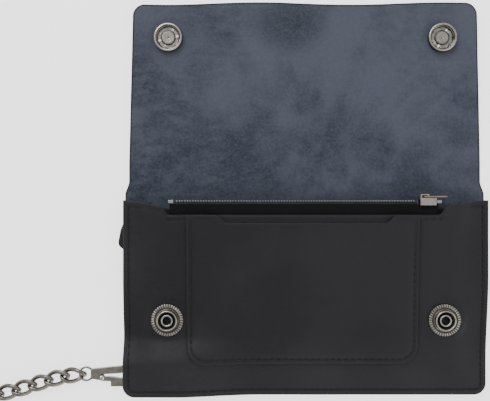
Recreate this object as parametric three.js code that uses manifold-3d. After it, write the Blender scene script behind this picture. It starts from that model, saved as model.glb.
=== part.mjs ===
// A leather chain wallet lying open on its back: zip pocket, card pocket, bill compartment, two snaps on the
// flap, and a curb chain with a clasp at each end. Millimetres, +Z up, +Y towards the end of the open flap.
import * as THREE from 'three';
import { mergeVertices } from 'three/addons/utils/BufferGeometryUtils.js';
import Module from 'manifold-3d';

const wasm = await Module();
wasm.setup();

// Driving dimensions.
const gap = 0.3; // between neighbouring pieces
const bodyWidth = 152.4;
const bodyHeight = 82;
const cornerRadius = 5;
const backLeather = 1.5;
const frontLeather = 1.5;
const dividerLeather = 0.7;
const patchLeather = 1.2;
const billOpening = 4; // how far the bill compartment stands open
const zipOpening = 4; // how far the zip pocket stands open

const foldMargin = 3; // from the top edge of the body to the first crease
const spineLength = 12.7; // between the two creases
const flapLength = 67.5; // from the second crease to the end of the flap
const flapRootWidth = 149.1;
const flapEndWidth = 145;
const flapCornerRadius = 5;

const patchWidth = 96.2;
const patchCentre = -1.4;
const patchBottom = 13.7;
const patchCorner = 8;
const patchBelowTop = 6; // from the top edge of the body down to the straight edge along the zip
const patchGap = 0.6; // the pocket's slack over the curved front
const notchHalfWidth = 37.5;
const notchShoulder = 5;
const notchDepth = 3.3;

const zipCentre = -1;
const zipHalfLength = 57;
const tapeThickness = 0.6;
const tapeHidden = 6; // how far a tape runs down behind the leather
const coilHeight = 1.3;
const coilDepth = 1.4;
const zipProud = 0.1; // how far the teeth stand past the top edge of the body
const sliderLength = 6.6;
const stopLength = 2;
const pullLength = 9;

const snapSpacing = 115.2;
const snapFromTop = 49.8; // from the top edge of the body down to the studs
const studFlange = 6.8;
const studRing = 4.3;
const studHeight = 2.85;
const postRadius = 1.9;
const footRadius = 4.5;
const socketRadius = 6.1;
const socketHeight = 2.6;
const capRadius = 6.8;
const capHeight = 1.6;

const hardwareLift = 5.4; // how far the corner rides up on the chain tab and clasp below it
const gussetBulge = 2.3; // how far the left gusset shows past the edge

const claspThickness = 2;
const eyeRadius = 2.8; // to the middle of its wire
const eyeWire = 0.5;
const eyeToLink = 1.95; // from the middle of an eye to where a link pivots in it
const eyeRoll = 10; // degrees the link in an eye is rolled, to clear its wire
const hookRadius = 6.65;
const hookWall = 2;
const hookCorner = 3.6;
const hookReach = 26.2; // from the eye to the middle of the hook
const tabWidth = 5.6;
const tunnelRadius = 1.7; // of the tab's fold round the clasp
const tabFold = 2.15;

const chainPitch = 7.2;
const chainWire = 0.9; // radius
const linkHalfLength = 4.9;
const linkHalfWidth = 2.2;
const linkTwist = 1.3;
const linkHeadings = [6, 14, 17, 17, 13, 6]; // degrees below straight left, link by link
const restLinks = 36;
const leadLength = 33;
const coilRadius = 36;
const turnSpacing = 7.6;
const inwardTurn = 12; // radius of the last bend into the middle of the coil
const inwardAngle = 120;

// Derived sizes.
const halfWidth = bodyWidth / 2;
const patchTop = bodyHeight - patchBelowTop;
const zipTop = bodyHeight + zipProud;
const creaseOne = bodyHeight + foldMargin;
const creaseTwo = creaseOne + spineLength;
const studY = bodyHeight - snapFromTop;
const snapReach = creaseOne - studY; // from the second crease to the sockets
const chainHeight = linkTwist + chainWire; // the chain's middle above the floor

const smooth = (value, from, to) => {
  const t = Math.min(1, Math.max(0, (value - from) / (to - from)));
  return t * t * (3 - 2 * t);
};
const mix = (a, b, t) => a + (b - a) * t;
const radians = THREE.MathUtils.degToRad;

// Materials.
function finish(color, roughness, metalness = 0) {
  return new THREE.MeshStandardMaterial({ color, roughness, metalness });
}
const blackLeather = finish(0x26272b, 0.62);
const suede = finish(0x3f4a5a, 0.95);
const tapeCloth = finish(0x0c0c0e, 0.9);
const coilNylon = finish(0x101012, 0.45);
const nickel = finish(0xa9a399, 0.3, 1);
const gunmetal = finish(0x8f8b80, 0.35, 1);

// Solids.
function solid(geometry) {
  geometry.deleteAttribute('uv');
  geometry.deleteAttribute('normal');
  const merged = mergeVertices(geometry, 1e-4);
  const p = merged.attributes.position;
  const index = Array.from(merged.index.array);
  const corners = [new THREE.Vector3(), new THREE.Vector3(), new THREE.Vector3()];
  const kept = [];
  let volume = 0;
  for (let i = 0; i < index.length; i += 3) {
    const [a, b, c] = index.slice(i, i + 3);
    if (a === b || b === c || a === c) continue;
    kept.push(a, b, c);
    corners.forEach((corner, k) => corner.fromBufferAttribute(p, [a, b, c][k]));
    volume += corners[0].dot(corners[1].clone().cross(corners[2]));
  }
  if (volume < 0) kept.reverse();
  merged.setIndex(kept);
  return merged;
}

function manifoldOf(geometry) {
  const vertProperties = new Float32Array(geometry.attributes.position.array);
  const triVerts = new Uint32Array(geometry.index.array);
  return new wasm.Manifold(new wasm.Mesh({ numProp: 3, vertProperties, triVerts }));
}

function geometryOf(manifold) {
  const mesh = manifold.getMesh();
  const geometry = new THREE.BufferGeometry();
  geometry.setAttribute('position', new THREE.BufferAttribute(new Float32Array(mesh.vertProperties), 3));
  geometry.setIndex(Array.from(mesh.triVerts));
  return geometry;
}

function joined(first, ...others) {
  return geometryOf(others.reduce((all, next) => all.add(manifoldOf(next)), manifoldOf(first)));
}

function cut(first, ...tools) {
  return geometryOf(tools.reduce((all, next) => all.subtract(manifoldOf(next)), manifoldOf(first)));
}

// A unit block of columns by rows, with each point sent to place(u, v, w). Both faces are split along the same
// diagonals, so one sheet can lie close over another.
function shaped(columns, rows, place) {
  const points = [];
  const faces = [];
  const at = (i, j, w) => (w * (rows + 1) + j) * (columns + 1) + i;
  const quad = (a, b, c, d) => faces.push(a, b, c, a, c, d);
  for (const w of [0, 1]) {
    for (let j = 0; j <= rows; j += 1) {
      for (let i = 0; i <= columns; i += 1) points.push(...place(i / columns, j / rows, w));
    }
  }
  for (let j = 0; j < rows; j += 1) {
    for (let i = 0; i < columns; i += 1) {
      const [a, b, c, d] = [at(i, j, 0), at(i + 1, j, 0), at(i + 1, j + 1, 0), at(i, j + 1, 0)];
      faces.push(a, c, b, a, d, c);
      quad(at(i, j, 1), at(i + 1, j, 1), at(i + 1, j + 1, 1), at(i, j + 1, 1));
    }
    quad(at(0, j + 1, 0), at(0, j, 0), at(0, j, 1), at(0, j + 1, 1));
    quad(at(columns, j, 0), at(columns, j + 1, 0), at(columns, j + 1, 1), at(columns, j, 1));
  }
  for (let i = 0; i < columns; i += 1) {
    quad(at(i, 0, 0), at(i + 1, 0, 0), at(i + 1, 0, 1), at(i, 0, 1));
    quad(at(i + 1, rows, 0), at(i, rows, 0), at(i, rows, 1), at(i + 1, rows, 1));
  }
  const geometry = new THREE.BufferGeometry();
  geometry.setAttribute('position', new THREE.Float32BufferAttribute(points, 3));
  geometry.setIndex(faces);
  return solid(geometry);
}

function box(x0, x1, y0, y1, z0, z1) {
  const geometry = new THREE.BoxGeometry(x1 - x0, y1 - y0, z1 - z0);
  geometry.translate((x0 + x1) / 2, (y0 + y1) / 2, (z0 + z1) / 2);
  return solid(geometry);
}

// A round solid about a vertical axis, from (radius, height) pairs.
function turned(profile, segments = 20) {
  const geometry = new THREE.LatheGeometry(profile.map(([r, h]) => new THREE.Vector2(r, h)), segments);
  geometry.rotateX(Math.PI / 2);
  return solid(geometry);
}

function disc(radius, x, y, z0, z1, segments = 20) {
  const geometry = turned([[0, z0], [radius, z0], [radius, z1], [0, z1]], segments);
  geometry.translate(x, y, 0);
  return geometry;
}

function plate(shape, z0, z1, curveSegments = 8) {
  const geometry = new THREE.ExtrudeGeometry(shape, { depth: z1 - z0, bevelEnabled: false, curveSegments });
  geometry.translate(0, 0, z0);
  return solid(geometry);
}

const wallet = new THREE.Group();
function add(parent, name, geometry, material) {
  const mesh = new THREE.Mesh(geometry, material);
  mesh.name = name;
  parent.add(mesh);
  return mesh;
}

// How high each layer of leather lies at a point of the body.
function lift(x, y) {
  return hardwareLift * (1 - smooth(x, 20 - halfWidth, 58 - halfWidth)) * (1 - smooth(y, 13, 26));
}
function backTop(x, y) {
  return lift(x, y) + backLeather;
}
const fromEdge = (x) => smooth(halfWidth - Math.abs(x), 2, 16); // 0 at the sides, 1 further in
const rise = (y) => 0.3 * smooth(y, 3, 22) + 0.7 * Math.min(1, y / (bodyHeight - 2));
function billGap(x, y) {
  return gap + billOpening * mix(smooth(y, 14, 50), rise(y), fromEdge(x));
}
function dividerTop(x, y) {
  return backTop(x, y) + billGap(x, y) + dividerLeather;
}
function zipGap(x, y) {
  return gap + zipOpening * rise(y) * fromEdge(x);
}
function frontTop(x, y) {
  return dividerTop(x, y) + zipGap(x, y) + frontLeather;
}

// An arc that rounds the end of an edge: how far the outline has dropped at x from a corner of this radius.
function rounded(fromSide, radius) {
  const inside = Math.max(0, radius - fromSide);
  return radius - Math.sqrt(radius * radius - inside * inside);
}
const alongWidth = (u) => (1 - Math.cos(Math.PI * u)) / 2; // closer columns near both sides

// A sheet of leather over the body, from bottom(x) to top(x), lying on under(x, y). The rows are closer together
// near the bottom, where the corner rides up, and every sheet shares them, so stacked sheets bend alike.
const sheetColumns = 22;
const sheetRows = 12;
const upward = (v) => v * (0.55 + 0.45 * v);
function bodySheet(half, bottom, top, under, thickness) {
  return shaped(sheetColumns, sheetRows, (u, v, w) => {
    const x = mix(-half, half, alongWidth(u));
    const y = v > 0.999 ? top(x) : mix(bottom(x), patchTop + 2, upward(v));
    return [x, y, under(x, y) + thickness * w];
  });
}
const bodyBottom = (x) => rounded(halfWidth - Math.abs(x), cornerRadius);

function backPanel() {
  return bodySheet(halfWidth, bodyBottom, () => creaseOne - gap / 2, lift, backLeather);
}

function divider() {
  const top = (x) => mix(bodyHeight - 3.4, bodyHeight, smooth(Math.abs(x - zipCentre), zipHalfLength, halfWidth));
  const under = (x, y) => backTop(x, y) + billGap(x, y);
  return bodySheet(halfWidth, bodyBottom, top, under, dividerLeather);
}

// The leather falls back from the corners to the zip, which shows above its straight edge.
function frontEdge(x) {
  const beyond = Math.abs(x - zipCentre) - zipHalfLength - 0.6;
  return beyond < 0 ? patchTop : mix(patchTop + 3, bodyHeight, smooth(beyond, -6, 17));
}

// The leather is pressed flat under each stud and over the foot of its post.
function frontPanel() {
  const under = (x, y) => dividerTop(x, y) + zipGap(x, y);
  const sheet = bodySheet(halfWidth, bodyBottom, frontEdge, under, frontLeather);
  const seats = snapPlaces.flatMap((x) => {
    const level = frontTop(x, studY);
    return [
      disc(postRadius + gap + 0.1, x, studY, 0, 20, 16),
      disc(studFlange + gap, x, studY, level, 20),
      disc(footRadius + gap, x, studY, level - 9, level - frontLeather),
    ];
  });
  return cut(sheet, ...seats);
}

function cardPocket() {
  const half = patchWidth / 2;
  const bottom = (x) => patchBottom + rounded(half - Math.abs(x), patchCorner);
  const top = (x) => {
    const fromMiddle = Math.abs(x + patchCentre);
    return patchTop - notchDepth * (1 - smooth(fromMiddle, notchHalfWidth - notchShoulder, notchHalfWidth));
  };
  const under = (x, y) => frontTop(x + patchCentre, y) + patchGap;
  const geometry = bodySheet(half, bottom, top, under, patchLeather);
  geometry.translate(patchCentre, 0, 0);
  return geometry;
}

// Folded leather between the back panel and the divider: side is -1 on the left and 1 on the right.
function gusset(side, bulge) {
  const wing = 9;
  const leather = 0.6;
  const start = bodyHeight - 49;
  return shaped(14, 12, (u, v, w) => {
    const y = mix(start, bodyHeight - 1, v);
    const fullness = smooth(y, bodyHeight - 2, bodyHeight - 17) * smooth(y, bodyHeight - 23, bodyHeight - 18.5);
    const fold = halfWidth - 2.2 + (bulge + 1.6) * fullness;
    const inset = w * leather;
    const turn = Math.min(1, Math.max(-1, (u - 0.5) / 0.2)) * (Math.PI / 2);
    const back = Math.max(0, Math.abs(u - 0.5) - 0.2) / 0.3;
    const x = side * (fold + Math.cos(turn) * (0.6 - inset * 0.5) - back * wing);
    const opening = billGap(x, y);
    const reach = opening / 2 - gap - 0.1 - inset;
    return [x, y, backTop(x, y) + opening / 2 - Math.sin(turn) * reach * side];
  });
}

// Flap and spine.
const flap = new THREE.Group();
const snapPlaces = [-snapSpacing / 2, snapSpacing / 2];
const flapTilt = Math.asin((capHeight + gap + 0.1) / snapReach); // the open flap rests on its two caps

function spine() {
  return shaped(18, 4, (u, v, w) => {
    const y = mix(creaseOne + gap / 2, creaseTwo - gap / 2, v);
    const half = mix(halfWidth, flapRootWidth / 2, smooth(v, -0.1, 0.4));
    return [mix(-half, half, u), y, backLeather * w];
  });
}

function flapSheet() {
  const half = flapRootWidth / 2;
  const sheet = shaped(20, 8, (u, v, w) => {
    const x = mix(-half, half, alongWidth(u));
    const end = flapLength - rounded(half - Math.abs(x), flapCornerRadius);
    const y = mix(gap / 2, end, v);
    const narrow = mix(1, flapEndWidth / flapRootWidth, y / flapLength);
    return [x * narrow, y, backLeather * (w - 1)];
  });
  return cut(sheet, ...snapPlaces.map((x) => disc(postRadius + gap, x, snapReach, -5, 5, 16)));
}

// Snaps. Heights are above the leather that each part lies on.
function stud() {
  const hole = postRadius + gap + 0.2;
  const flange = [[hole, 0], [studFlange, 0], [studFlange, 0.5], [studFlange - 0.5, 0.8], [studRing + 0.6, 0.8]];
  const ring = [[studRing, 1.1], [studRing, studHeight - 0.3], [studRing - 0.25, studHeight]];
  const dish = [[studRing - 0.6, studHeight], [studRing - 0.8, studHeight - 0.4], [hole, 1.1], [hole, 0]];
  return turned([...flange, ...ring, ...dish], 24);
}

function eyelet() {
  const bore = postRadius - 0.4;
  const below = -frontLeather - 2 * gap;
  const foot = [[bore, below - 0.4], [footRadius, below - 0.4], [footRadius, below], [postRadius, below]];
  const rim = [[postRadius, 1.7], [2.6, 1.8], [2.6, 2.1], [2.2, 2.3], [bore, 2], [bore, below - 0.4]];
  return turned([...foot, ...rim], 16);
}

function socket() {
  const bore = studRing + gap;
  const hole = postRadius + gap;
  const outside = [[hole, 0], [socketRadius - 0.3, 0], [socketRadius, 0.4], [socketRadius, socketHeight - 0.5]];
  const rim = socketRadius - 0.5;
  const lip = [[rim + 0.1, socketHeight], [bore + 0.2, socketHeight], [bore, socketHeight - 0.2], [bore, 2]];
  const groove = [[rim, 1.9], [rim, 1.1], [bore, 1], [bore, 0.4], [hole, 0.4], [hole, 0]];
  return turned([...outside, ...lip, ...groove], 24);
}

// A split ring of wire that sits in the socket's groove and grips the stud.
function springRing() {
  const ring = new THREE.TorusGeometry(studRing + gap + 0.3, 0.25, 6, 24);
  ring.translate(0, 0, 1.5);
  return cut(solid(ring), box(3, 7, -0.6, 0.6, 0, 3));
}

function cap() {
  const leather = -backLeather - 2 * gap;
  const dome = [[0, leather - capHeight], [3.5, leather - capHeight + 0.15], [5.8, leather - 0.8]];
  const edge = [[capRadius, leather - 0.3], [capRadius - 0.1, leather], [postRadius, leather]];
  const star = [[postRadius, 0.7], [studRing - 1.1, 0.7], [studRing - 1.3, 1], [0, 1]];
  return turned([...dome, ...edge, ...star], 20);
}

// Zip. The front tape hangs from the front panel and the rear tape from the divider.
const zipLeft = zipCentre - zipHalfLength;
const zipRight = zipCentre + zipHalfLength;
const tapeBottom = patchTop - tapeHidden;
const coilBottom = zipTop - coilHeight;
const mouthX = zipCentre;
const frontTapeTop = (x, y) => dividerTop(x, y) + zipGap(x, y) - gap;
const rearTapeBottom = (x, y) => dividerTop(x, y) + gap;

function tape(under) {
  return shaped(16, 3, (u, v, w) => {
    const x = mix(zipLeft + 1.5, zipRight - 1.5, u);
    const y = mix(tapeBottom, coilBottom - gap, v);
    return [x, y, under(x, y) + tapeThickness * w];
  });
}

function coil(lowest) {
  const count = 26;
  const run = zipRight - zipLeft - 2 * stopLength - 4 - sliderLength;
  return shaped(count, 1, (u, v, w) => {
    const x = zipLeft + stopLength + 2 + u * run;
    const crest = Math.round(u * count) % 2 === 0 ? 0 : 0.35;
    return [x, mix(coilBottom, zipTop - crest, v), lowest(x) + coilDepth * w];
  });
}
const frontCoilBottom = (x) => frontTapeTop(x, coilBottom) - tapeThickness - 0.1;
const rearCoilBottom = (x) => rearTapeBottom(x, coilBottom) - 0.4;

const mouthLow = rearCoilBottom(mouthX);
const mouthHigh = frontCoilBottom(mouthX) + coilDepth;
const mouthMiddle = (mouthLow + mouthHigh) / 2;
const sliderRight = zipRight - stopLength - 0.4;
const plateTop = zipTop + gap + 0.6;

function slider() {
  const x0 = sliderRight - sliderLength;
  const wall = 0.65;
  const low = mouthLow - gap - wall;
  const high = mouthHigh + gap + wall;
  const top = box(x0, sliderRight, zipTop + gap, plateTop, low, high);
  const front = box(x0, sliderRight, zipTop - 2.2, plateTop, high - wall, high);
  const rear = box(x0, sliderRight, zipTop - 2.2, plateTop, low, low + wall);
  const neck = box(x0 + 2, sliderRight - 1, zipTop - 2.2, plateTop, mouthMiddle - 0.6, mouthMiddle + 0.6);
  const bar = box(x0 + 0.6, x0 + 4.2, plateTop + 1.1, plateTop + 1.6, mouthMiddle - 0.6, mouthMiddle + 0.6);
  const posts = [x0 + 0.6, x0 + 3.6].map((x) => box(x, x + 0.6, plateTop - 0.2, plateTop + 1.6, mouthMiddle - 0.6,
    mouthMiddle + 0.6));
  return joined(top, front, rear, neck, bar, ...posts);
}

const pullPivot = [sliderRight - sliderLength + 2.4, plateTop + 0.55];
function pull() {
  const [x, y] = pullPivot;
  const half = 1.75;
  const body = box(x - 0.4, x + pullLength, y - 0.25, y + 0.25, mouthMiddle - half, mouthMiddle + half);
  const window = box(x + 0.4, x + 2.5, y - 1, y + 1, mouthMiddle - 0.95, mouthMiddle + 0.95);
  return cut(body, window);
}

function stop(x, z) {
  return box(x, x + stopLength, coilBottom, zipTop, z, z + coilDepth);
}

// Clasp, drawn with its eye at the origin and its hook to the right, lying flat from z = 0.
const pinPlace = [6.6, -1.75];
const claspMiddle = claspThickness / 2;
function ring(outer, inner, x, y, z0, z1) {
  return cut(disc(outer, x, y, z0, z1, 20), disc(inner, x, y, z0 - 1, z1 + 1, 16));
}

function claspBody() {
  const eye = new THREE.TorusGeometry(eyeRadius, eyeWire, 8, 24);
  eye.translate(0, 0, claspMiddle);
  const top = hookRadius + 0.2;
  const low = 0.2 - hookRadius;
  const nose = hookReach + hookRadius;
  const turn = nose - hookCorner;
  const inside = hookCorner - hookWall;
  const arm = new THREE.Shape();
  arm.moveTo(2.3, -0.4);
  arm.lineTo(16, 0.5);
  arm.quadraticCurveTo(20, 1.4, hookReach, top - hookWall);
  arm.lineTo(turn, top - hookWall);
  arm.absarc(turn, top - hookCorner, inside, Math.PI / 2, 0, true);
  arm.absarc(turn, low + hookCorner, inside, 0, -Math.PI / 2, true);
  arm.lineTo(hookReach + 1.5, low + hookWall);
  arm.lineTo(hookReach + 1.5, low);
  arm.absarc(turn, low + hookCorner, hookCorner, -Math.PI / 2, 0, false);
  arm.absarc(turn, top - hookCorner, hookCorner, 0, Math.PI / 2, false);
  arm.lineTo(hookReach, top);
  arm.quadraticCurveTo(21, hookRadius - 0.4, 16, 3.7);
  arm.lineTo(2.3, 2.3);
  const lug = new THREE.Shape();
  lug.moveTo(2.2, -2.3);
  lug.lineTo(2.5, 0);
  lug.lineTo(7.2, 0.2);
  lug.absarc(pinPlace[0], pinPlace[1], 1.3, 0.6, -1.9, true);
  const lugPlate = cut(plate(lug, 0, 0.75), disc(0.9, ...pinPlace, -1, 3, 12));
  const root = box(1.9, 3.6, -2.2, 1.8, 0, claspThickness - 0.45);
  return joined(plate(arm, 0, claspThickness), lugPlate, root, solid(eye));
}

function claspGate() {
  const lever = new THREE.Shape();
  lever.moveTo(pinPlace[0] - 1.15, pinPlace[1]);
  lever.absarc(pinPlace[0], pinPlace[1], 1.15, Math.PI, Math.PI / 2, true);
  lever.lineTo(16, -1.7);
  lever.lineTo(20, -2.2);
  lever.lineTo(hookReach + 1.2, -hookRadius + hookWall + 0.2);
  lever.lineTo(hookReach + 1.2, -hookRadius + 0.4);
  lever.lineTo(20, -4.9);
  lever.lineTo(16.4, -3.4);
  lever.lineTo(16.4, -5.2);
  lever.lineTo(10.4, -5.2);
  lever.lineTo(10.4, -3);
  lever.lineTo(pinPlace[0], pinPlace[1] - 1.15);
  const relief = box(0, pinPlace[0] + 2.6, -4, 2, -1, 1.5);
  return cut(plate(lever, 0, claspThickness), relief, disc(0.9, ...pinPlace, -1, 3, 12));
}

function claspPin() {
  return disc(0.6, ...pinPlace, 0, claspThickness, 12);
}

function claspSpring() {
  return ring(1.2, 0.85, ...pinPlace, 0.97, 1.25);
}

function addClasp(parent, prefix) {
  add(parent, `${prefix}_body`, claspBody(), gunmetal);
  add(parent, `${prefix}_gate`, claspGate(), gunmetal);
  add(parent, `${prefix}_pin`, claspPin(), nickel);
  add(parent, `${prefix}_spring`, claspSpring(), nickel);
}

// The chain tab: leather folded round the nose of the clasp and sewn flat under the back panel.
const eyePlace = [-halfWidth - 16.2, 8.6];
const claspRise = 1.5;
const noseX = eyePlace[0] + hookReach + hookRadius - hookWall / 2;
function chainTab() {
  const middle = claspRise + claspMiddle;
  const sewn = lift(noseX + 16, eyePlace[1]) - gap - 0.1;
  const outline = new THREE.Shape();
  outline.moveTo(noseX + 16, sewn - 1.6);
  outline.lineTo(noseX + 16, sewn);
  outline.lineTo(noseX, middle + tabFold);
  outline.absarc(noseX, middle, tabFold, Math.PI / 2, -Math.PI / 2, false);
  outline.lineTo(noseX + 5, middle - 0.4);
  const tunnel = new THREE.Path();
  tunnel.absarc(noseX, middle, tunnelRadius, 0, Math.PI * 2, false);
  outline.holes.push(tunnel);
  const geometry = new THREE.ExtrudeGeometry(outline, { depth: tabWidth, bevelEnabled: false, curveSegments: 12 });
  geometry.rotateX(Math.PI / 2);
  geometry.translate(0, eyePlace[1] + 0.2 + tabWidth / 2, 0);
  return solid(geometry);
}

// One twisted curb link along X: its wire follows a long ring that rises and falls twice.
function curbLink() {
  const around = new THREE.TorusGeometry(1, 0.25, 8, 24);
  const points = around.attributes.position;
  const at = (t) => new THREE.Vector3(
    linkHalfLength * Math.cos(t),
    linkHalfWidth * Math.sin(t) * (1 - 0.2 * Math.cos(2 * t)),
    linkTwist * Math.sin(2 * t),
  );
  for (let i = 0; i < points.count; i += 1) {
    const [x, y, z] = [points.getX(i), points.getY(i), points.getZ(i)];
    const t = Math.atan2(y, x);
    const tangent = at(t + 1e-3).sub(at(t - 1e-3)).normalize();
    const out = new THREE.Vector3(Math.cos(t), Math.sin(t), 0);
    out.addScaledVector(tangent, -out.dot(tangent)).normalize();
    const up = out.clone().cross(tangent);
    const place = at(t);
    place.addScaledVector(out, (Math.hypot(x, y) - 1) * 4 * chainWire);
    place.addScaledVector(up, z * 4 * chainWire);
    points.setXYZ(i, place.x, place.y, place.z);
  }
  return solid(around);
}

// The route of the chain on the floor: a pivot between each pair of links, then the lead and the coil.
const firstHeading = radians(linkHeadings[0]);
const pivots = [[
  eyePlace[0] - eyeToLink * Math.cos(firstHeading),
  eyePlace[1] - eyeToLink * Math.sin(firstHeading),
]];
linkHeadings.forEach((heading) => {
  const [x, y] = pivots.at(-1);
  const angle = radians(heading);
  pivots.push([x - chainPitch * Math.cos(angle), y - chainPitch * Math.sin(angle)]);
});

function coilEnd(start) {
  const length = restLinks * chainPitch;
  const step = 0.5;
  let [x, y] = start;
  let heading = Math.PI;
  let radius = coilRadius;
  for (let s = 0; s < length; s += step) {
    const last = length - s < inwardTurn * radians(inwardAngle);
    const bend = last ? inwardTurn : radius;
    if (s > leadLength) {
      heading -= step / bend;
      radius -= (turnSpacing * step) / (2 * Math.PI * radius);
    }
    x += step * Math.cos(heading);
    y += step * Math.sin(heading);
  }
  return { x, y, heading };
}

const coilCentre = [pivots.at(-1)[0] - leadLength, pivots.at(-1)[1] + coilRadius];

const coilOuter = coilRadius + linkHalfWidth + chainWire;
const coilInner = coilRadius - 8 - linkHalfWidth - chainWire;
function chainLead() {
  const [x, y] = pivots.at(-1);
  const away = Math.sqrt((coilOuter + gap) ** 2 - (coilRadius - chainHeight) ** 2);
  const end = coilCentre[0] + away;
  const first = new THREE.Vector3(x - 2.6, y, chainHeight);
  const line = new THREE.LineCurve3(first, new THREE.Vector3(end, y, chainHeight));
  const section = new THREE.Shape();
  section.absarc(0, 0, chainHeight - 0.05, 0, Math.PI * 2, false);
  return solid(new THREE.ExtrudeGeometry(section, { extrudePath: line, steps: 2, curveSegments: 8 }));
}

function chainCoil() {
  const top = 2 * chainHeight;
  const profile = [[coilInner, 0.05], [coilOuter, 0.05], [coilOuter, top], [coilInner, top], [coilInner, 0.05]];
  const geometry = turned(profile, 40);
  geometry.translate(...coilCentre, 0);
  return geometry;
}

// Assembly: body.
add(wallet, 'back_panel', backPanel(), blackLeather);
add(wallet, 'pocket_divider', divider(), blackLeather);
add(wallet, 'front_panel', frontPanel(), blackLeather);
add(wallet, 'card_pocket', cardPocket(), blackLeather);
add(wallet, 'gusset_left', gusset(-1, gussetBulge), blackLeather);
add(wallet, 'gusset_right', gusset(1, -1.2), blackLeather);

// Assembly: spine and flap.
add(wallet, 'flap_spine', spine(), suede);
flap.position.set(0, creaseTwo, backLeather);
flap.rotation.x = flapTilt;
wallet.add(flap);
add(flap, 'flap', flapSheet(), suede);
['left', 'right'].forEach((side, i) => {
  const x = snapPlaces[i];
  const top = frontTop(x, studY) + gap;
  add(wallet, `snap_stud_${side}`, stud(), nickel).position.set(x, studY, top);
  add(wallet, `snap_eyelet_${side}`, eyelet(), nickel).position.set(x, studY, top);
  add(flap, `snap_socket_${side}`, socket(), nickel).position.set(x, snapReach, gap);
  add(flap, `snap_spring_${side}`, springRing(), nickel).position.set(x, snapReach, gap);
  add(flap, `snap_cap_${side}`, cap(), nickel).position.set(x, snapReach, gap);
});

// Assembly: zip.
add(wallet, 'zip_tape_front', tape((x, y) => frontTapeTop(x, y) - tapeThickness), tapeCloth);
add(wallet, 'zip_tape_rear', tape(rearTapeBottom), tapeCloth);
add(wallet, 'zip_coil_front', coil(frontCoilBottom), coilNylon);
add(wallet, 'zip_coil_rear', coil(rearCoilBottom), coilNylon);
add(wallet, 'zip_slider', slider(), nickel);
add(wallet, 'zip_pull', pull(), nickel);
add(wallet, 'zip_top_stop_front', stop(zipLeft + 1, frontCoilBottom(zipLeft + 1)), nickel);
add(wallet, 'zip_top_stop_rear', stop(zipLeft + 1, rearCoilBottom(zipLeft + 1)), nickel);
const joinX = zipRight - stopLength;
const joinTop = frontCoilBottom(joinX) + coilDepth;
const bottomStop = box(joinX, joinX + stopLength, coilBottom, zipTop, rearCoilBottom(joinX), joinTop);
add(wallet, 'zip_bottom_stop', bottomStop, nickel);

// Assembly: chain tab, clasp and chain.
add(wallet, 'chain_tab', chainTab(), blackLeather);
const nearClasp = new THREE.Group();
nearClasp.position.set(...eyePlace, claspRise);
wallet.add(nearClasp);
addClasp(nearClasp, 'clasp');
linkHeadings.forEach((heading, i) => {
  const link = add(wallet, `chain_link_${i + 1}`, curbLink(), gunmetal);
  const [[x0, y0], [x1, y1]] = [pivots[i], pivots[i + 1]];
  link.position.set((x0 + x1) / 2, (y0 + y1) / 2, i === 0 ? claspRise + claspMiddle : chainHeight);
  link.rotation.order = 'ZYX';
  link.rotation.z = radians(heading);
  link.rotation.x = i === 0 ? radians(eyeRoll) : 0;
});
add(wallet, 'chain_lead', chainLead(), gunmetal);
add(wallet, 'chain_coil', chainCoil(), gunmetal);
const end = coilEnd(pivots.at(-1));
const farClasp = new THREE.Group();
farClasp.position.set(
  end.x + eyeToLink * Math.cos(end.heading),
  end.y + eyeToLink * Math.sin(end.heading),
  claspRise,
);
farClasp.rotation.z = end.heading;
wallet.add(farClasp);
addClasp(farClasp, 'belt_clasp');

// The origin is the middle of the wallet's own footprint on the floor, without the chain.
const footprint = new THREE.Box3();
const onChain = /^(clasp|chain_link|chain_lead|chain_coil|belt_clasp)/;
wallet.updateMatrixWorld(true);
wallet.traverse((piece) => {
  if (piece.isMesh && !onChain.test(piece.name)) footprint.expandByObject(piece, true);
});
wallet.position.set(-(footprint.min.x + footprint.max.x) / 2, -(footprint.min.y + footprint.max.y) / 2, 0);

export default wallet;
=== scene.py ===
import math
import bmesh
import bpy
import mathutils
import numpy as np
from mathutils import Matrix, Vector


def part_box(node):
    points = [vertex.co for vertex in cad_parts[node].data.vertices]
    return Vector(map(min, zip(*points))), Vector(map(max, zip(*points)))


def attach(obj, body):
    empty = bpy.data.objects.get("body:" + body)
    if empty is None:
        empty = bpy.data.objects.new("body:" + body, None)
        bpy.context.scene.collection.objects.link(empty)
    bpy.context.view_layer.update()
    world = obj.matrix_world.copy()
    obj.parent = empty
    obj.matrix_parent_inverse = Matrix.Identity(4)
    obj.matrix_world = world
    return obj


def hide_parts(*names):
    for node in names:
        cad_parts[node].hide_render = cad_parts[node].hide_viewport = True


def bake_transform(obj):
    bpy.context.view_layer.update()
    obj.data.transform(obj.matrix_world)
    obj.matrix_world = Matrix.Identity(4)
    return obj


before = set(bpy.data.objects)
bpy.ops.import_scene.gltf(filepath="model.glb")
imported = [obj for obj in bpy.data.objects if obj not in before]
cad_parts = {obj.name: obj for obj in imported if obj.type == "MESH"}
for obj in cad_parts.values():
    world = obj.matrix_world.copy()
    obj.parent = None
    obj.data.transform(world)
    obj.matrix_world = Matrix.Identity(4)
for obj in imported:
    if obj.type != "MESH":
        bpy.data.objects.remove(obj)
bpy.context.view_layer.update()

mm = 0.001

# The wallet's own coordinates: millimetres, x from the middle of the body, y from its bottom edge,
# z from the floor.
backLow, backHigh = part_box("back_panel")
halfWidth = (backHigh.x - backLow.x) / 2 / mm
origin = np.array([(backHigh.x + backLow.x) / 2 / mm, backLow.y / mm, 0.0])

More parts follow.
